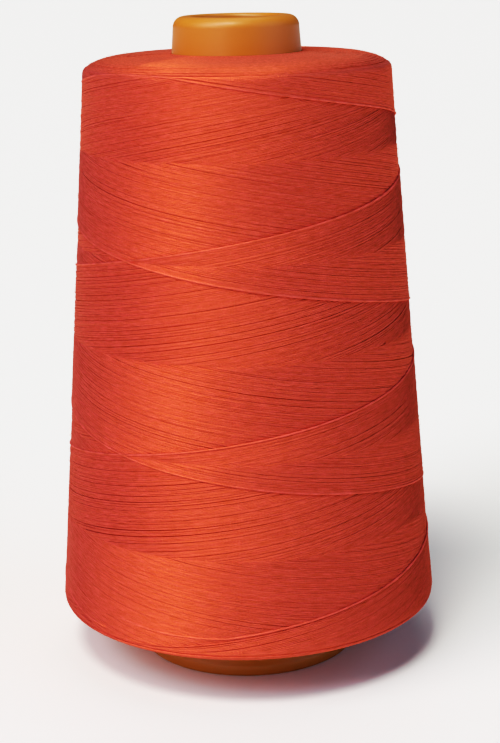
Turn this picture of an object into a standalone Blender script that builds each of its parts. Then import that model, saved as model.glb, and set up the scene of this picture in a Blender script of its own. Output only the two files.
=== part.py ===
"""A cone of sewing thread: a tapered plastic core, and the thread package cross-wound on it.

The core stands on its base rim. Its nose stands clear of the package above, and its foot below.
Units are metres. The origin is on the axis, at the bottom of the base rim, and +Z runs to the nose.
"""

import math

import bpy
import numpy as np

MM = 0.001

# The core: a 4 degree 20 minute taper, 170 mm long.
CORE_LENGTH = 170.0 * MM
CORE_SLOPE = math.tan(math.radians(4 + 20 / 60))
NOSE_RADIUS = 16.0 * MM
CORE_WALL = 2.0 * MM
NOSE_ROUND = 2.8 * MM
NOSE_WALL = 5.0 * MM
NOSE_LIP_DEPTH = 4.0 * MM
NOSE_MOUTH_ROUND = 1.0 * MM
FOOT_HEIGHT = 3.0 * MM
FOOT_PROUD = 0.7 * MM
FOOT_WALL = 3.6 * MM
FOOT_ROUND = 0.8 * MM

# The thread package, between the foot and the nose.
PACKAGE_BOTTOM = 13.5 * MM
TRAVERSE = 146.9 * MM
PACKAGE_BOTTOM_RADIUS = 51.05 * MM
PACKAGE_TOP_RADIUS = 39.8 * MM
BOTTOM_SHOULDER = (5.0 * MM, 1.7 * MM)  # across, up
TOP_SHOULDER = (11.2 * MM, 4.2 * MM)
TOP_DOME = 0.5 * MM
GAP = 0.3 * MM

# The winding: rising and falling courses that cross, the newest standing proudest.
LEAD = 48.8 * MM  # travel along the axis in one turn of the thread
CROSSING_HEIGHT = 113.0 * MM
CROSSING_ANGLE = math.radians(-42.5)  # from the front, towards +X
COURSE_STEP = 0.4 * MM
COURSE_RAMP = 0.08  # share of a lead over which a step is softened
RELIEF_FADE = 9.0 * MM

SIDES = 60
SIDE_ROWS = 40
SCREW_MERGE = 0.00001
ARC_POINTS = 5


def core_radius(height):
    """The core's outer radius at a height."""
    return NOSE_RADIUS + CORE_SLOPE * (CORE_LENGTH - height)


def quarter(centre, across, up, start, points=ARC_POINTS):
    """Points of a quarter ellipse turned clockwise from the start angle, in degrees."""
    angles = np.radians(np.linspace(start, start - 90, points))
    return [(centre[0] + across * math.cos(a), centre[1] + up * math.sin(a)) for a in angles]


def core_profile():
    """Half the core's section, as a closed loop: down the outside, in under the foot, and up the inside."""
    nose_edge = core_radius(CORE_LENGTH - NOSE_ROUND)
    foot_radius = core_radius(0) + FOOT_PROUD
    mouth_radius = NOSE_RADIUS - NOSE_WALL
    foot_inside = foot_radius - FOOT_WALL
    lip_foot = CORE_LENGTH - NOSE_LIP_DEPTH
    outside = quarter(
        (nose_edge - NOSE_ROUND, CORE_LENGTH - NOSE_ROUND), NOSE_ROUND, NOSE_ROUND, 90
    )
    outside += [
        (core_radius(FOOT_HEIGHT + FOOT_PROUD), FOOT_HEIGHT + FOOT_PROUD),
        (foot_radius, FOOT_HEIGHT),
    ]
    under = quarter((foot_radius - FOOT_ROUND, FOOT_ROUND), FOOT_ROUND, FOOT_ROUND, 0, 3)
    inside = [
        (foot_inside, 0),
        (foot_inside, FOOT_HEIGHT),
        (core_radius(2 * FOOT_HEIGHT) - CORE_WALL, 2 * FOOT_HEIGHT),
        (core_radius(lip_foot - CORE_WALL) - CORE_WALL, lip_foot - CORE_WALL),
        (mouth_radius, lip_foot),
    ]
    mouth = quarter(
        (mouth_radius + NOSE_MOUTH_ROUND, CORE_LENGTH - NOSE_MOUTH_ROUND),
        NOSE_MOUTH_ROUND, NOSE_MOUTH_ROUND, 180, 3,
    )
    return outside + under + inside + mouth


def package_profile():
    """Half the package's section, as a closed loop: over the top end, down the side, and up the bore."""
    top = PACKAGE_BOTTOM + TRAVERSE
    shoulder_across, shoulder_up = TOP_SHOULDER
    heel_across, heel_up = BOTTOM_SHOULDER
    upper = quarter(
        (PACKAGE_TOP_RADIUS - shoulder_across, top - shoulder_up), shoulder_across, shoulder_up, 90, 8
    )
    lower = quarter(
        (PACKAGE_BOTTOM_RADIUS - heel_across, PACKAGE_BOTTOM + heel_up), heel_across, heel_up, 0, 5
    )
    side_top, side_bottom = np.array(upper[-1]), np.array(lower[0])
    shares = np.linspace(0, 1, SIDE_ROWS + 1)[1:-1]
    side = [tuple(side_top + share * (side_bottom - side_top)) for share in shares]
    bore = [
        (core_radius(PACKAGE_BOTTOM) + GAP, PACKAGE_BOTTOM),
        (core_radius(top) + GAP, top + TOP_DOME),
    ]
    return upper + side + lower + bore


def frac(values):
    return values - np.floor(values)


def course_age(turns):
    """Age of a course from 0 to 1, with the step back to new softened over a ramp."""
    age = frac(turns)
    return np.minimum(age, (1 - age) * (1 - COURSE_RAMP) / COURSE_RAMP)


def wound_relief(points):
    """How far each point lies below the newest course: the younger of the two that pass there shows."""
    angle = np.arctan2(points[:, 0], -points[:, 1]) - CROSSING_ANGLE
    climb = (points[:, 2] - CROSSING_HEIGHT) / LEAD
    rising = course_age(angle / math.tau - climb)
    falling = course_age(angle / math.tau + climb)
    return COURSE_STEP * np.minimum(rising, falling)


def press_courses(mesh):
    """Moves the points of the package's side in by the relief, fading out towards both shoulders."""
    points = np.empty(len(mesh.vertices) * 3)
    mesh.vertices.foreach_get("co", points)
    points = points.reshape(-1, 3)
    radius = np.hypot(points[:, 0], points[:, 1])
    middle = PACKAGE_BOTTOM + TRAVERSE / 2
    from_end = TRAVERSE / 2 - np.abs(points[:, 2] - middle)
    fade = np.clip(from_end / RELIEF_FADE, 0, 1)
    on_side = radius > PACKAGE_TOP_RADIUS - TOP_SHOULDER[0] / 2
    depth = wound_relief(points) * fade * on_side
    points[:, :2] *= (1 - depth / radius)[:, None]
    mesh.vertices.foreach_set("co", points.ravel())
    mesh.update()


def plastic_or_thread(name, colour, roughness, sheen=0.0):
    material = bpy.data.materials.new(name)
    material.use_nodes = True
    shader = material.node_tree.nodes["Principled BSDF"]
    shader.inputs["Base Color"].default_value = (*colour, 1)
    shader.inputs["Roughness"].default_value = roughness
    shader.inputs["Metallic"].default_value = 0
    shader.inputs["Sheen Weight"].default_value = sheen
    return material


def turned(name, profile, material, collection):
    """An object whose closed profile is turned once round the axis by a Screw modifier."""
    count = len(profile)
    mesh = bpy.data.meshes.new(name)
    ring = [(i, (i + 1) % count) for i in range(count)]
    mesh.from_pydata([(r, 0, z) for r, z in profile], ring, [])
    mesh.materials.append(material)
    piece = bpy.data.objects.new(name, mesh)
    collection.objects.link(piece)
    screw = piece.modifiers.new("turn", "SCREW")
    screw.steps = SIDES
    screw.render_steps = SIDES
    screw.use_smooth_shade = True
    screw.use_merge_vertices = True
    screw.merge_threshold = SCREW_MERGE
    return piece


def freeze(piece):
    """Replaces the piece's modifiers with the mesh that they make."""
    graph = bpy.context.evaluated_depsgraph_get()
    mesh = bpy.data.meshes.new_from_object(piece.evaluated_get(graph))
    piece.modifiers.clear()
    piece.data = mesh
    return mesh


def main():
    for old in list(bpy.data.objects):
        bpy.data.objects.remove(old)
    collection = bpy.data.collections.new("thread_cone")
    bpy.context.scene.collection.children.link(collection)

    ochre = plastic_or_thread("ochre_plastic", (0.56, 0.19, 0.018), 0.38)
    orange = plastic_or_thread("orange_thread", (0.80, 0.10, 0.030), 0.75, 0.3)

    turned("cone_core", core_profile(), ochre, collection)
    package = turned("thread_package", package_profile(), orange, collection)
    wound = freeze(package)
    press_courses(wound)
    wound.set_sharp_from_angle(angle=math.radians(40))


main()
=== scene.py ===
"""The looks of a cone of sewing thread: a moulded ochre core, and the thread wound on it turn by turn.

The thread lies as one long tube, wound up and down the cone six turns to the double stroke. Each
double stroke falls a thread's width short of whole turns, so the courses creep round and cross.
"""

import math

import bpy
import numpy as np
from mathutils import Matrix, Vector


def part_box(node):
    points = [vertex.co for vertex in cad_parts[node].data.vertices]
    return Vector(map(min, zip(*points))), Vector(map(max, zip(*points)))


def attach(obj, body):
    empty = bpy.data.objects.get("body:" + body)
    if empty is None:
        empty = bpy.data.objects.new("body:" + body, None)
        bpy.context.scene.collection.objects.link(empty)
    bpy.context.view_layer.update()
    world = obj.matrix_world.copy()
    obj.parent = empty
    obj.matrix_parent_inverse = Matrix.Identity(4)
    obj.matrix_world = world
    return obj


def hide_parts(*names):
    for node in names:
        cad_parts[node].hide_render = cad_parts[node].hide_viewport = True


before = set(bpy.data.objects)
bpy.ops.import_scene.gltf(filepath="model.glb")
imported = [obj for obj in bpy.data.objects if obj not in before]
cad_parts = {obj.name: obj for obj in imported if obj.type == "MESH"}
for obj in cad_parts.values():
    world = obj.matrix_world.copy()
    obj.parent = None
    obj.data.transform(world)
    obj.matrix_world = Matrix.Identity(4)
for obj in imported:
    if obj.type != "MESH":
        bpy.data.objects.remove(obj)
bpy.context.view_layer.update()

MM = 0.001
DEGREE = math.pi / 180
TURN = 2 * math.pi

# ---------------------------------------------------------------- sizes, from the frame where it has them
core_low, core_high = (np.array(corner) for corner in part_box("cone_core"))
package_low, package_high = (np.array(corner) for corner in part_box("thread_package"))

CORE_LENGTH = core_high[2] - core_low[2]
FOOT_RADIUS = core_high[0]
CORE_SLOPE = math.tan(math.radians(4 + 20 / 60))
NOSE_RADIUS = 16.0 * MM
CORE_WALL = 2.0 * MM
NOSE_ROUND = 2.8 * MM
MOUTH_RADIUS = 11.0 * MM
MOUTH_ROUND = 1.0 * MM
LIP_DEPTH = 4.0 * MM
FOOT_HEIGHT = 3.0 * MM
FOOT_WALL = 3.6 * MM
FOOT_ROUND = 0.8 * MM

TOP_DOME = 0.5 * MM
PACKAGE_BOTTOM = package_low[2]
PACKAGE_TOP = package_high[2] - TOP_DOME
BOTTOM_RADIUS = package_high[0]
TOP_RADIUS = 39.8 * MM
HEEL = (5.0 * MM, 1.7 * MM)  # the lower shoulder's half axes, across and up
SHOULDER = (11.2 * MM, 4.2 * MM)
BORE_GAP = 0.3 * MM
OUTLINE_MARKS = 2400
BODY_UNDER = 0.25  # how far the solid lies under the turns' middles near an end, in threads
BODY_DEEPER = 0.5  # and how much further on the side

# ---------------------------------------------------------------- the winding
LEAD = 48.8 * MM  # travel along the side in one turn
CROSSING_HEIGHT = 113.0 * MM
CROSSING_ANGLE = -42.5 * DEGREE  # from the front, towards +X
STROKES = 153  # double strokes that cover the cone once, the newest first
THREAD = 0.32 * MM  # the thread's diameter, where its neighbours press it
SPREAD = 0.39 * MM  # across where it is free, so that neighbours merge
TURNS_PER_STROKE = 6 - 1 / STROKES
COLUMNS = 90  # stations in one turn, the same for every turn so that chords lie side by side
TUBE_SIDES = 5
TURNED_AT = (-1.3 * MM, -2.4 * MM)  # where the courses turn at the foot and at the nose, along the side
LAST_TURN = 4.4 * MM  # how far short of the foot the last stroke turned
NEWEST_PROUD = 0.13 * MM  # how far the last double stroke, with nothing pressing on it, stands out
SINK = 0.9  # how deep the newest course's middle lies under the package's outline, in threads
SETTLE = 0.5  # share of a thread that each full layer adds, because the turns below are pressed in
NEWEST_FULLER = 1.35  # the newest turns' width against the rest, because nothing flattens them
THREAD_PIECES = 4

BUNCH_SIZES = (2, 7)  # strokes in a bunch: from the first to below the second
BUNCH_SQUEEZE = 0.17  # the most that bunched strokes close up, in threads
STROKE_SCATTER = 0.085  # how far single strokes stray, in threads
TURN_EASE = 0.01  # share of a stroke over which its course bends round at an end
TURN_REACH = 0.3  # turns over which a stroke goes from its turning place to its even place
TURN_SCATTER = 0.16 * MM
DRIFTS = ((0.17, 0.042 * MM), (0.06, 0.012 * MM))  # sideways wander: every so many turns, how far
RISES = ((0.21, 0.028 * MM), (0.05, 0.028 * MM))  # the same, off the surface

OVERLAP_STEP = 0.45  # how far a course rises over the other or dips under it, in threads
OVERLAP_RAMP = 0.025  # the difference in age over which it does so
HIDDEN_BELOW = -0.9  # a course this far under the other is left out
LATE_HIDDEN = 0.07  # but is kept where the other is younger than this, since it starts there
END_FADE = 16 * MM  # stretch of the side over which the relief and the wander calm towards an end
END_CALM = 0.35  # share of the wander that is left at an end
SHOWN_AT_FOOT = 8 * MM  # stretches where both courses are kept
SHOWN_AT_NOSE = 10 * MM

# ---------------------------------------------------------------- the ends and the fibres
RING_STATIONS = 96
RING_START = 2.4  # radians: the maps' turning places lie behind, out of the way
RING_PITCH = 0.98 * THREAD
RING_WAVES = np.array([0.12, 0.05, 0.03]) * MM  # typical size of the waves, once round and faster
RING_SCATTER = 0.08 * THREAD  # off the surface
TOP_RINGS_FROM = 1.6 * MM  # past the side's upper end
FIBRES = 5000
FIBRE_LENGTHS = (0.6 * MM, 2.2 * MM)
FIBRE_RISES = (0.12 * MM, 0.42 * MM)
FIBRE_RADIUS = 0.014 * MM
FIBRE_STATIONS = 4
FIBRE_SIDES = 3


def frac(values):
    return values - np.floor(values)


def smooth_step(values):
    held = np.clip(values, 0, 1)
    return held * held * (3 - 2 * held)


# ---------------------------------------------------------------- meshes

def mesh_object(name, points, *faces):
    """An object from points (n, 3) and arrays of faces, each (m, sides)."""
    faces = [np.asarray(batch, np.int32) for batch in faces if len(batch)]
    corners = np.concatenate([batch.ravel() for batch in faces])
    sizes = np.concatenate([np.full(len(batch), batch.shape[1], np.int32) for batch in faces])
    starts = np.concatenate([[0], np.cumsum(sizes)[:-1]]).astype(np.int32)
    mesh = bpy.data.meshes.new(name)
    mesh.vertices.add(len(points))
    mesh.vertices.foreach_set("co", np.asarray(points, np.float32).ravel())
    mesh.loops.add(len(corners))
    mesh.loops.foreach_set("vertex_index", corners)
    mesh.polygons.add(len(sizes))
    mesh.polygons.foreach_set("loop_start", starts)
    mesh.polygons.foreach_set("loop_total", sizes)
    mesh.polygons.foreach_set("use_smooth", np.full(len(sizes), True))
    mesh.update(calc_edges=True)
    mesh.validate()
    piece = bpy.data.objects.new(name, mesh)
    bpy.context.scene.collection.objects.link(piece)
    return piece


def grid_quads(rows, columns, close_rows, close_columns):
    """Quads of a grid numbered row by row, closed round in either direction where asked."""
    down = np.arange(rows if close_rows else rows - 1)
    across = np.arange(columns if close_columns else columns - 1)
    r, c = np.meshgrid(down, across, indexing="ij")
    r2, c2 = (r + 1) % rows, (c + 1) % columns
    quads = np.stack([r * columns + c, r * columns + c2, r2 * columns + c2, r2 * columns + c], -1)
    return quads.reshape(-1, 4)


def paint_map(piece, name, values):
    """A UV map whose value at each corner is its point's, from an (n, 2) array."""
    mesh = piece.data
    corner_points = np.empty(len(mesh.loops), np.int32)
    mesh.loops.foreach_get("vertex_index", corner_points)
    layer = mesh.uv_layers.new(name=name)
    layer.uv.foreach_set("vector", np.asarray(values, np.float32)[corner_points].ravel())


def turned(name, profile, stations):
    """A closed profile of (radius, height) rows turned round the axis: x = r sin a, y = -r cos a.
    The profile runs up the outside and down the inside, which makes the faces point outwards."""
    profile = np.asarray(profile)
    angle = np.arange(stations) * TURN / stations
    radius, height = profile[:, :1], profile[:, 1:]
    points = np.stack(
        [radius * np.sin(angle), -radius * np.cos(angle), height + 0 * angle], -1
    ).reshape(-1, 3)
    return mesh_object(name, points, grid_quads(len(profile), stations, True, True))


def arc(centre, across, up, start, end, points):
    """Points of an ellipse's arc from one angle to another, in degrees."""
    angle = np.linspace(start, end, points) * DEGREE
    return np.stack([centre[0] + across * np.cos(angle), centre[1] + up * np.sin(angle)], -1)


# ---------------------------------------------------------------- the surface that the thread lies on

def core_radius(height):
    return NOSE_RADIUS + CORE_SLOPE * (CORE_LENGTH - height)


def package_outline():
    """The package's section from the bore at its foot, out, up the side and in to the bore at its top,
    and how many of its points round the heel."""
    heel_across, heel_up = HEEL
    across, up = SHOULDER
    foot_bore = [[core_radius(PACKAGE_BOTTOM) + BORE_GAP, PACKAGE_BOTTOM]]
    heel = arc(
        (BOTTOM_RADIUS - heel_across, PACKAGE_BOTTOM + heel_up), heel_across, heel_up, -90, 0, 24
    )
    shoulder = arc((TOP_RADIUS - across, PACKAGE_TOP - up), across, up, 0, 90, 40)
    top_bore = [[core_radius(PACKAGE_TOP) + BORE_GAP, PACKAGE_TOP + TOP_DOME]]
    return np.concatenate([foot_bore, heel, shoulder, top_bore]), len(heel)


class Outline:
    """The package's outline by distance along it, with its outward normal."""

    def __init__(self):
        corners, heel_count = package_outline()
        steps = np.hypot(*np.diff(corners, axis=0).T)
        reach = np.concatenate([[0], np.cumsum(steps)])
        self.length = reach[-1]
        self.side_start = reach[heel_count]
        self.side_end = reach[heel_count + 1]
        self.marks = np.linspace(0, self.length, OUTLINE_MARKS)
        self.radius = np.interp(self.marks, reach, corners[:, 0])
        self.height = np.interp(self.marks, reach, corners[:, 1])
        along_r = np.gradient(self.radius, self.marks)
        along_z = np.gradient(self.height, self.marks)
        size = np.hypot(along_r, along_z)
        self.normal_r, self.normal_z = along_z / size, -along_r / size
        on_side = (self.marks > self.side_start) & (self.marks < self.side_end)
        self.crossing = np.interp(
            CROSSING_HEIGHT, self.height[on_side], self.marks[on_side]
        )

    def place(self, distance, angle, lift):
        """Points (n, 3) at a distance along the outline and an angle round it, lifted off it, and normals."""
        radius = np.interp(distance, self.marks, self.radius)
        height = np.interp(distance, self.marks, self.height)
        out = np.interp(distance, self.marks, self.normal_r)
        up = np.interp(distance, self.marks, self.normal_z)
        radius = radius + lift * out
        height = height + lift * up
        sin, cos = np.sin(angle), np.cos(angle)
        points = np.stack([radius * sin, -radius * cos, height], -1)
        normals = np.stack([out * sin, -out * cos, up], -1)
        return points, normals


outline = Outline()


def course_ages(distance, angle):
    """Ages, from 0 new to 1 old, of the rising and the falling course at a place on the side."""
    climb = (distance - outline.crossing) / LEAD
    round_share = (angle - CROSSING_ANGLE) / TURN
    return frac(round_share - climb), frac(round_share + climb)


def deepened(age):
    """An age whose fall from old to new is put off over a short ramp on the new side."""
    ramp = 0.03
    return np.where(age < ramp, 1 - (1 - ramp) * age / ramp, age)


# ---------------------------------------------------------------- tubes

def tube_points(centres, normals, radius, closed):
    """Rings of a tube round a path: ring i, side j is the centre, plus the radius times
    cos(j) of the surface's normal and sin(j) of the direction square to it and to the path."""
    if closed:
        along = np.roll(centres, -1, 0) - np.roll(centres, 1, 0)
    else:
        along = np.gradient(centres, axis=0)
    along /= np.linalg.norm(along, axis=1, keepdims=True)
    across = np.cross(along, normals)
    across /= np.linalg.norm(across, axis=1, keepdims=True)
    out = np.cross(across, along)
    side = np.arange(TUBE_SIDES) * TURN / TUBE_SIDES
    ring = np.cos(side)[:, None] * out[:, None] + np.sin(side)[:, None] * across[:, None]
    return centres[:, None] + np.reshape(radius, (-1, 1, 1)) * ring


# ---------------------------------------------------------------- the wound thread

def eased_fold(phase, ease):
    """A triangle wave from 0 at whole phases to 1 at halves, each turn eased to a parabola."""
    above_low = np.minimum(frac(phase), 1 - frac(phase))
    below_high = 0.5 - above_low
    round_low = (above_low**2 + ease**2) / (2 * ease)
    round_high = 0.5 - (below_high**2 + ease**2) / (2 * ease)
    folded = np.where(above_low < ease, round_low, above_low)
    return 2 * np.where(below_high < ease, round_high, folded)


def run_offsets(rng):
    """How far each single stroke lies off its even place, towards the nose: bunches with gaps between."""
    offsets = np.zeros((STROKES, 2))
    for way, sign in enumerate((1, -1)):
        stroke = 0
        while stroke < STROKES:
            size = int(rng.integers(*BUNCH_SIZES))
            squeeze = rng.uniform(0.0, BUNCH_SQUEEZE)
            member = np.arange(min(size, STROKES - stroke))
            offsets[stroke : stroke + size, way] = sign * squeeze * (member - (size - 1) / 2)
            stroke += size
        offsets[:, way] += rng.normal(0, STROKE_SCATTER, STROKES)
    return offsets * THREAD


def slow_noise(rng, turns, step, size):
    """Random values every so many turns, joined smoothly."""
    place = turns / step
    whole = np.floor(place).astype(int)
    values = rng.normal(0, size, whole.max() + 2)
    return values[whole] + smooth_step(place - whole) * (values[whole + 1] - values[whole])


def wound_path():
    """The thread's middle line from the oldest shown turn to the newest, with the surface's normals,
    the turns counted along it, and which stretches lie over the other course."""
    rng = np.random.default_rng(41)
    total = STROKES * TURNS_PER_STROKE
    count = int(total * COLUMNS)
    turns = total - np.arange(count)[::-1] / COLUMNS
    half_stroke = TURNS_PER_STROKE / 2
    age = (total - turns) / total
    low = outline.crossing - 2 * LEAD
    distance = low + 3 * LEAD * eased_fold(turns / TURNS_PER_STROKE, TURN_EASE)
    angle = CROSSING_ANGLE + TURN * (turns - total)

    offsets = run_offsets(rng)[::-1].ravel()  # oldest first, rising then falling
    starts = np.arange(2 * STROKES) * half_stroke
    turned_short = rng.uniform(-1.0, 1.0, 2 * STROKES) * TURN_SCATTER + np.tile(TURNED_AT, STROKES)
    reach = np.full(2 * STROKES, TURN_REACH)
    turned_short[-2], reach[-2] = LAST_TURN, LAST_TURN / LEAD  # the last rising stroke
    knots = np.stack([starts, starts + reach, starts + half_stroke - TURN_REACH], -1).ravel()
    distance += np.interp(turns, knots, np.stack([turned_short, offsets, offsets], -1).ravel())
    distance += sum(slow_noise(rng, turns, step, size) for step, size in DRIFTS)

    other_age = frac(2 * (angle - CROSSING_ANGLE) / TURN - age)
    above = np.tanh((other_age - age) / OVERLAP_RAMP)
    to_end = np.minimum(distance - low, low + 3 * LEAD - distance)
    calm = END_CALM + (1 - END_CALM) * smooth_step(to_end / END_FADE)
    layers = SETTLE * (age + other_age) * (1.6 * calm - 0.6)
    newest = turns > total - TURNS_PER_STROKE
    lift = THREAD * (OVERLAP_STEP * above - layers - SINK)
    lift += calm * sum(slow_noise(rng, turns, step, size) for step, size in RISES)
    lift += calm * NEWEST_PROUD * newest
    points, normals = outline.place(distance, angle, lift)
    radius = np.where(newest, NEWEST_FULLER, 1) * SPREAD / 2
    near_end = (distance < low + SHOWN_AT_FOOT) | (distance > low + 3 * LEAD - SHOWN_AT_NOSE)
    shown = (above > HIDDEN_BELOW) | (other_age < LATE_HIDDEN) | near_end
    return points, normals, radius, turns, shown


def lay_thread(material):
    """The wound thread as a few meshes of tubes, each a stretch of the one path, without the
    stretches that the crossing course covers."""
    points, normals, radius, turns, shown = wound_path()
    rings = tube_points(points, normals, radius, closed=False)
    lay = np.stack([turns % TURNS_PER_STROKE, turns // TURNS_PER_STROKE], -1)
    side = np.arange(TUBE_SIDES)
    bounds = np.linspace(0, len(points), THREAD_PIECES + 1).astype(int)
    made = []
    for index in range(THREAD_PIECES):
        part = slice(bounds[index], bounds[index + 1])
        kept = shown[part]
        kept[[0, -1]] = False
        kept &= np.roll(kept, 1) | np.roll(kept, -1)
        number = np.cumsum(kept) - 1
        joined = kept[:-1] & kept[1:]
        here, there = number[:-1][joined, None] * TUBE_SIDES, number[1:][joined, None] * TUBE_SIDES
        after = np.roll(side, -1)
        quads = np.stack([here + side, here + after, there + after, there + side], -1).reshape(-1, 4)
        starts = number[1:][~kept[:-1] & kept[1:], None] * TUBE_SIDES + side[::-1]
        ends = number[:-1][kept[:-1] & ~kept[1:], None] * TUBE_SIDES + side
        name = f"wound_thread_{index + 1}"
        piece = mesh_object(name, rings[part][kept].reshape(-1, 3), quads, starts, ends)
        along = np.repeat(turns[part][kept], TUBE_SIDES)
        round_tube = np.tile(side / TUBE_SIDES, kept.sum())
        paint_map(piece, "thread_map", np.stack([along, round_tube], -1))
        paint_map(piece, "lay_map", np.repeat(lay[part][kept], TUBE_SIDES, axis=0))
        piece.data.materials.append(material)
        made.append(piece)
    return made


# ---------------------------------------------------------------- the turns that show on both ends

def lay_end(name, first, last, seed, material):
    """Closed turns side by side across an end: each is a circle whose distance along the outline
    swings by a few slow waves, so that neighbours cross."""
    rng = np.random.default_rng(seed)
    count = int(abs(last - first) / RING_PITCH)
    middle = np.linspace(first, last, count)[:, None]
    angle = (RING_START + np.arange(RING_STATIONS) * TURN / RING_STATIONS)[None]
    waves = np.arange(1, 4)[:, None, None]
    size = rng.normal(0, 1, (3, count, 1)) * RING_WAVES[:, None, None]
    start = rng.uniform(0, TURN, (3, count, 1))
    swing = (size * np.sin(waves * angle + start)).sum(0)
    distance = np.clip(middle + swing, min(first, last), max(first, last))
    lift = -SINK * THREAD + rng.normal(0, RING_SCATTER, (count, 1)) + 0 * angle
    points, normals = outline.place(distance, angle + 0 * middle, lift)
    all_points, all_quads = [], []
    ring_points = RING_STATIONS * TUBE_SIDES
    quads = grid_quads(RING_STATIONS, TUBE_SIDES, True, True)
    for index in range(count):
        rings = tube_points(points[index], normals[index], SPREAD / 2, closed=True)
        all_points.append(rings.reshape(-1, 3))
        all_quads.append(quads + index * ring_points)
    piece = mesh_object(name, np.concatenate(all_points), np.concatenate(all_quads))
    ring, station, side = np.meshgrid(
        np.arange(count), np.arange(RING_STATIONS), np.arange(TUBE_SIDES), indexing="ij"
    )
    there_and_back = 1 - np.abs(2 * station / RING_STATIONS - 1)
    around = np.abs(2 * side / TUBE_SIDES - 1)
    paint_map(piece, "thread_map", np.stack([1.37 * ring + there_and_back, around], -1).reshape(-1, 2))
    paint_map(piece, "lay_map", np.stack([there_and_back, ring], -1).reshape(-1, 2))
    piece.data.materials.append(material)
    return piece


def loose_fibres(count, material):
    """Short hairs that stand off the thread: each follows s, angle and lift as quadratics of the
    share along it, rising from the surface and falling partly back."""
    rng = np.random.default_rng(77)
    share = np.linspace(0, 1, FIBRE_STATIONS)[None]
    start = rng.uniform(0.2 * outline.side_start, outline.length - 12 * MM, (count, 1))
    angle = rng.uniform(0, TURN, (count, 1))
    length = rng.uniform(*FIBRE_LENGTHS, (count, 1))
    heading = rng.normal(0, 0.7, (count, 1)) + np.pi * rng.integers(0, 2, (count, 1))
    curl = rng.normal(0, 0.5, (count, 1)) * length
    rise = rng.uniform(*FIBRE_RISES, (count, 1))
    distance = start + length * np.sin(heading) * share + curl * np.cos(heading) * share**2
    distance = np.clip(distance, 0, outline.length)
    sweep = length * np.cos(heading) * share - curl * np.sin(heading) * share**2
    turned_by = angle + sweep / (45 * MM)
    lift = -0.5 * THREAD + rise * (2.6 * share - 1.3 * share**2)
    points, normals = outline.place(distance.ravel(), turned_by.ravel(), lift.ravel())
    points = points.reshape(count, FIBRE_STATIONS, 3)
    normals = normals.reshape(count, FIBRE_STATIONS, 3)
    along = np.gradient(points, axis=1)
    along /= np.linalg.norm(along, axis=-1, keepdims=True)
    across = np.cross(along, normals)
    across /= np.linalg.norm(across, axis=-1, keepdims=True)
    out = np.cross(across, along)
    side = np.arange(FIBRE_SIDES) * TURN / FIBRE_SIDES
    ring = np.cos(side)[:, None] * out[:, :, None] + np.sin(side)[:, None] * across[:, :, None]
    taper = np.array([1.0, 0.9, 0.75, 0.4])[None, :, None, None]
    vertices = points[:, :, None] + FIBRE_RADIUS * taper * ring
    fibre_points = FIBRE_STATIONS * FIBRE_SIDES
    first = np.arange(count)[:, None, None] * fibre_points
    quads = (first + grid_quads(FIBRE_STATIONS, FIBRE_SIDES, False, True)[None]).reshape(-1, 4)
    root = np.arange(FIBRE_SIDES)
    roots = (first[:, 0] + root[::-1]).reshape(-1, 3)
    tips = (first[:, 0] + root + fibre_points - FIBRE_SIDES).reshape(-1, 3)
    piece = mesh_object("loose_fibres", vertices.reshape(-1, 3), quads, roots, tips)
    piece.data.materials.append(material)
    return piece


def wound_body(material):
    """The solid under the top turns: the outline sunk by the ages of the courses over it."""
    rows, stations = 200, 144
    distance = np.linspace(0, outline.length, rows)[:, None]
    angle = (np.arange(stations) * TURN / stations)[None]
    rising, falling = (deepened(age) for age in course_ages(distance, angle))
    from_end = np.minimum(distance - outline.side_start, outline.side_end - distance)
    fade = smooth_step(from_end / END_FADE)
    depth = SINK + BODY_UNDER + fade * (BODY_DEEPER + SETTLE * (rising + falling))
    lift = -THREAD * depth
    points, _ = outline.place(distance + 0 * angle, angle + 0 * distance, lift)
    bore_rows = 2
    bore = points[[-1, 0]].copy()
    inner = core_radius(bore[..., 2:]) + BORE_GAP / 2
    bore[..., :2] *= inner / np.linalg.norm(bore[..., :2], axis=-1, keepdims=True)
    shell = np.concatenate([points, bore]).reshape(-1, 3)
    quads = grid_quads(rows + bore_rows, stations, True, True)
    piece = mesh_object("wound_body", shell, quads)
    piece.data.materials.append(material)
    return piece


# ---------------------------------------------------------------- the core

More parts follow.
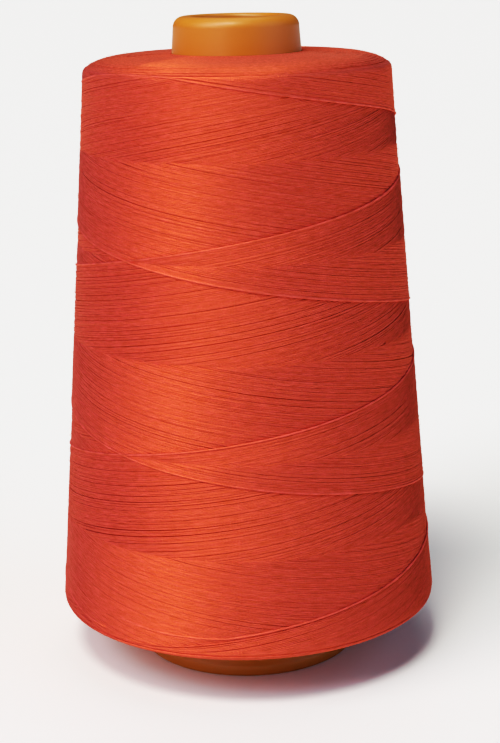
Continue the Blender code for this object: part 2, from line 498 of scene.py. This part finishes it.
def core_shell(material):
    """The moulded core, turned: down the outside from the nose, in under the foot and up the inside."""
    nose_edge = core_radius(CORE_LENGTH - NOSE_ROUND)
    lip_foot = CORE_LENGTH - LIP_DEPTH
    foot_proud = FOOT_RADIUS - core_radius(0)
    inside_foot = FOOT_RADIUS - FOOT_WALL
    profile = np.concatenate([
        arc((nose_edge - NOSE_ROUND, CORE_LENGTH - NOSE_ROUND), NOSE_ROUND, NOSE_ROUND, 90, 0, 14),
        [[core_radius(h), h] for h in np.linspace(CORE_LENGTH - 5 * MM, FOOT_HEIGHT + 2 * foot_proud, 24)],
        [[FOOT_RADIUS - 0.15 * MM, FOOT_HEIGHT + 0.15 * MM], [FOOT_RADIUS, FOOT_HEIGHT - 0.3 * MM]],
        arc((FOOT_RADIUS - FOOT_ROUND, FOOT_ROUND), FOOT_ROUND, FOOT_ROUND, 0, -90, 8),
        arc((inside_foot + 0.3 * MM, 0.3 * MM), 0.3 * MM, 0.3 * MM, -90, -180, 4),
        [[inside_foot, FOOT_HEIGHT], [core_radius(2 * FOOT_HEIGHT) - CORE_WALL, 2 * FOOT_HEIGHT]],
        [[core_radius(h) - CORE_WALL, h] for h in np.linspace(10 * MM, lip_foot - CORE_WALL, 20)],
        [[MOUTH_RADIUS + 0.4 * MM, lip_foot], [MOUTH_RADIUS, lip_foot + 0.4 * MM]],
        arc((MOUTH_RADIUS + MOUTH_ROUND, CORE_LENGTH - MOUTH_ROUND), MOUTH_ROUND, MOUTH_ROUND, 180, 90, 8),
    ])
    piece = turned("core_shell", profile[::-1], 160)
    piece.data.materials.append(material)
    return piece


# ---------------------------------------------------------------- materials

def new_material(name):
    material = bpy.data.materials.new(name)
    material.use_nodes = True
    return material, material.node_tree, material.node_tree.nodes["Principled BSDF"]


def add(tree, kind, settings=(), **sockets):
    """A node with its settings, its sockets set from values or joined to other nodes' outputs."""
    node = tree.nodes.new(kind)
    for name, value in dict(settings).items():
        setattr(node, name, value)
    for name, value in sockets.items():
        place = node.inputs[int(name[1:])] if name[0] == "_" else node.inputs[name.replace("_", " ")]
        if isinstance(value, bpy.types.NodeSocket):
            tree.links.new(value, place)
        else:
            place.default_value = value
    return node


def maths(tree, operation, *values):
    settings = {"operation": operation}
    return add(tree, "ShaderNodeMath", settings, **{f"_{i}": v for i, v in enumerate(values)}).outputs[0]


def spread_to(tree, value, low, high, low_out, high_out):
    node = add(
        tree, "ShaderNodeMapRange", {"clamp": True},
        Value=value, From_Min=low, From_Max=high, To_Min=low_out, To_Max=high_out,
    )
    return node.outputs[0]


def thread_material():
    """Spun thread: each stretch has its own tone, with a twist along it and a mottle of loose fibres. Its top
    end and its newest stroke are painted lighter, as painted highlights.
    """
    material, tree, shader = new_material("orange_thread")
    along = add(tree, "ShaderNodeUVMap", {"uv_map": "thread_map"}).outputs[0]
    parts = add(tree, "ShaderNodeSeparateXYZ", Vector=along).outputs
    place = add(tree, "ShaderNodeTexCoord").outputs["Object"]

    line = {"noise_dimensions": "1D"}
    run = add(tree, "ShaderNodeTexNoise", line, W=parts[0], Scale=9.0, Detail=2.0).outputs[0]
    run_tone = spread_to(tree, run, 0.3, 0.7, 0.86, 1.12)
    speck = add(tree, "ShaderNodeTexNoise", line, W=parts[0], Scale=95.0, Detail=3.0).outputs[0]
    speck_tone = spread_to(tree, speck, 0.32, 0.68, 0.7, 1.26)
    fibres = add(tree, "ShaderNodeTexNoise", Vector=place, Scale=1700.0, Detail=1.0).outputs[0]
    fibre_tone = spread_to(tree, fibres, 0.3, 0.7, 0.88, 1.1)
    lay = add(tree, "ShaderNodeUVMap", {"uv_map": "lay_map"}).outputs[0]
    spread_lay = add(tree, "ShaderNodeMapping", Vector=lay, Scale=(55.0, 0.55, 1.0)).outputs[0]
    streak = add(
        tree, "ShaderNodeTexNoise", {"noise_dimensions": "2D"}, Vector=spread_lay, Scale=1.0, Detail=2.0
    ).outputs[0]
    streak_tone = spread_to(tree, streak, 0.3, 0.7, 0.84, 1.16)
    tone = maths(tree, "MULTIPLY", maths(tree, "MULTIPLY", run_tone, speck_tone), fibre_tone)
    tone = maths(tree, "MULTIPLY", tone, streak_tone)
    stroke = add(tree, "ShaderNodeSeparateXYZ", Vector=lay).outputs[1]
    newest = maths(tree, "GREATER_THAN", stroke, STROKES - 1.5)
    # The newest stroke is painted 35% lighter: a painted highlight along the proud last thread.
    tone = maths(tree, "MULTIPLY_ADD", newest, maths(tree, "MULTIPLY", tone, 0.35), tone)

    # Painted light: within the last 3 mm below the package's top, the thread's colour is painted lighter and
    # more orange. This is a painted highlight where the top end faces the overhead light.
    height = add(tree, "ShaderNodeSeparateXYZ", Vector=place).outputs[2]
    painted_top_light = spread_to(tree, height, PACKAGE_TOP - 3.0 * MM, PACKAGE_TOP - 0.4 * MM, 0.0, 1.0)
    colour_with_painted_top_light = add(
        tree, "ShaderNodeMix", {"data_type": "RGBA"},
        _0=painted_top_light, _6=(0.338, 0.056, 0.072, 1), _7=(0.56, 0.108, 0.08, 1),
    ).outputs[2]
    colour = add(
        tree, "ShaderNodeMix", {"data_type": "RGBA", "blend_type": "MULTIPLY"}, _0=1.0, _6=colour_with_painted_top_light, _7=tone
    ).outputs[2]
    tree.links.new(colour, shader.inputs["Base Color"])

    plies = maths(tree, "MULTIPLY_ADD", parts[1], 2 * TURN, maths(tree, "MULTIPLY", run, 60.0))
    twist = maths(tree, "MULTIPLY_ADD", parts[0], 390 * TURN, plies)
    height = maths(tree, "ADD", maths(tree, "MULTIPLY", maths(tree, "SINE", twist), 0.25), fibres)
    bump = add(tree, "ShaderNodeBump", Strength=0.5, Distance=0.0002, Height=height).outputs[0]
    tree.links.new(bump, shader.inputs["Normal"])

    shader.inputs["Roughness"].default_value = 0.41
    shader.inputs["IOR"].default_value = 2.8
    shader.inputs["Specular IOR Level"].default_value = 1.0
    shader.inputs["Specular Tint"].default_value = (1, 0.18, 0.05, 1)
    shader.inputs["Sheen Weight"].default_value = 0.16
    shader.inputs["Sheen Roughness"].default_value = 0.35
    shader.inputs["Sheen Tint"].default_value = (1, 0.6, 0.5, 1)
    return material


def fuzz_material():
    """Single fibres, paler than the thread because light passes through them."""
    material, _, shader = new_material("orange_fuzz")
    shader.inputs["Base Color"].default_value = (0.62, 0.16, 0.09, 1)
    shader.inputs["Roughness"].default_value = 0.6
    shader.inputs["Specular IOR Level"].default_value = 0.2
    return material


def core_material():
    """Moulded plastic with a faint orange peel."""
    material, tree, shader = new_material("ochre_plastic")
    place = add(tree, "ShaderNodeTexCoord").outputs["Object"]
    peel = add(tree, "ShaderNodeTexNoise", Vector=place, Scale=420.0, Detail=2.0).outputs[0]
    bump = add(tree, "ShaderNodeBump", Strength=0.35, Distance=0.0001, Height=peel).outputs[0]
    tree.links.new(bump, shader.inputs["Normal"])
    shader.inputs["Base Color"].default_value = (0.445, 0.158, 0.02, 1)
    shader.inputs["Roughness"].default_value = 0.42
    shader.inputs["Specular IOR Level"].default_value = 0.5
    return material


# ---------------------------------------------------------------- the studio

SKY_LIGHT = 0.1
SKY_SEEN = 1.38
RESPONSE_JOIN = (0.2, 0.36)  # light as a share of the curve's white level, and what shows of it
RESPONSE_TOE_POWER = 1.5
RESPONSE_TOE_HALVINGS = (4, 3, 2, 1)
RESPONSE_SHOULDER = ((0.3, 0.52), (0.4, 0.645), (0.485, 0.73), (0.6, 0.82), (0.675, 0.87), (0.8, 0.935))


def studio():
    """A plain pale floor, a faint even sky, and wide soft suns, the strong ones from the upper left."""
    bpy.ops.mesh.primitive_plane_add(size=40, location=(0, 0, 0))
    floor = bpy.context.object
    floor.name = "studio_floor"
    paint, _, shader = new_material("studio_paper")
    shader.inputs["Base Color"].default_value = (0.855, 0.86, 0.9, 1)
    shader.inputs["Roughness"].default_value = 0.9
    shader.inputs["Specular IOR Level"].default_value = 0.1
    floor.data.materials.append(paint)

    world = bpy.data.worlds.new("studio_air")
    world.use_nodes = True
    sky = world.node_tree.nodes["Background"]
    sky.inputs["Color"].default_value = (0.98, 0.99, 1, 1)
    # The sky lights the scene faintly, and past the floor's edge it is seen as pale as the floor.
    path = world.node_tree.nodes.new("ShaderNodeLightPath")
    seen = world.node_tree.nodes.new("ShaderNodeMapRange")
    seen.inputs["To Min"].default_value = SKY_LIGHT
    seen.inputs["To Max"].default_value = SKY_SEEN
    world.node_tree.links.new(path.outputs["Is Camera Ray"], seen.inputs["Value"])
    world.node_tree.links.new(seen.outputs["Result"], sky.inputs["Strength"])
    bpy.context.scene.world = world

    for name, azimuth, elevation, spread, strength, colour in (
        ("high", -22, 63, 16, 2.48, (1, 0.99, 0.85)),
        ("key", -58, 39, 40, 2.3, (1, 0.9, 0.84)),
        ("left", -40, 46, 24, 0.8, (0.85, 0.9, 1)),
        ("back", 180, 70, 40, 0.65, (1, 0.95, 0.85)),
        ("fill", 68, 26, 60, 0.85, (0.42, 0.7, 0.95)),
        ("low", -30, 12, 20, 0.32, (1, 0.75, 0.75)),
    ):
        lamp = bpy.data.lights.new(name, "SUN")
        lamp.energy = strength
        lamp.color = colour
        lamp.angle = spread * DEGREE
        light = bpy.data.objects.new(name, lamp)
        # A sun shines down its own -Z: tipped from straight down, then swung from the front.
        light.rotation_euler = ((90 - elevation) * DEGREE, 0, azimuth * DEGREE)
        bpy.context.scene.collection.objects.link(light)


def response():
    """The camera's response: a toe that is a power of the light, and a shoulder given point by point."""
    view = bpy.context.scene.view_settings
    view.view_transform = "Standard"
    view.use_curve_mapping = True
    view.curve_mapping.white_level = (2, 2, 2)
    curve = view.curve_mapping.curves[3]
    join_light, join_shown = RESPONSE_JOIN
    toe = [
        (join_light / 2**halvings, join_shown / 2 ** (halvings * RESPONSE_TOE_POWER))
        for halvings in RESPONSE_TOE_HALVINGS
    ]
    for light, shown in (*toe, RESPONSE_JOIN, *RESPONSE_SHOULDER):
        curve.points.new(light, shown)
    view.curve_mapping.update()


def camera():
    """The camera stands a little above the nose and looks down at the cone's middle."""
    lens = bpy.data.cameras.new("camera")
    lens.lens = 79.2
    lens.clip_end = 100
    eye = bpy.data.objects.new("camera", lens)
    eye.location = (0, -0.427, 0.189)
    pitch, yaw, roll = -14.86 * DEGREE, -0.225 * DEGREE, -1.24 * DEGREE
    aimed = Matrix.Rotation(yaw, 3, "Z") @ Matrix.Rotation(math.pi / 2 + pitch, 3, "X")
    eye.rotation_euler = (aimed @ Matrix.Rotation(roll, 3, "Z")).to_euler()
    bpy.context.scene.collection.objects.link(eye)
    bpy.context.scene.camera = eye


def main():
    camera()
    studio()
    response()

    plastic = core_material()
    thread = thread_material()

    core = core_shell(plastic)
    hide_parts("cone_core")
    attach(core, "root")

    body = wound_body(thread)
    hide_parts("thread_package")
    top = lay_end("top_end_turns", outline.side_end + TOP_RINGS_FROM, outline.length, 5, thread)
    foot = lay_end("foot_end_turns", outline.side_start, 0, 6, thread)
    fibres = loose_fibres(FIBRES, fuzz_material())
    for piece in [body, top, foot, fibres, *lay_thread(thread)]:
        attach(piece, "root")


main()
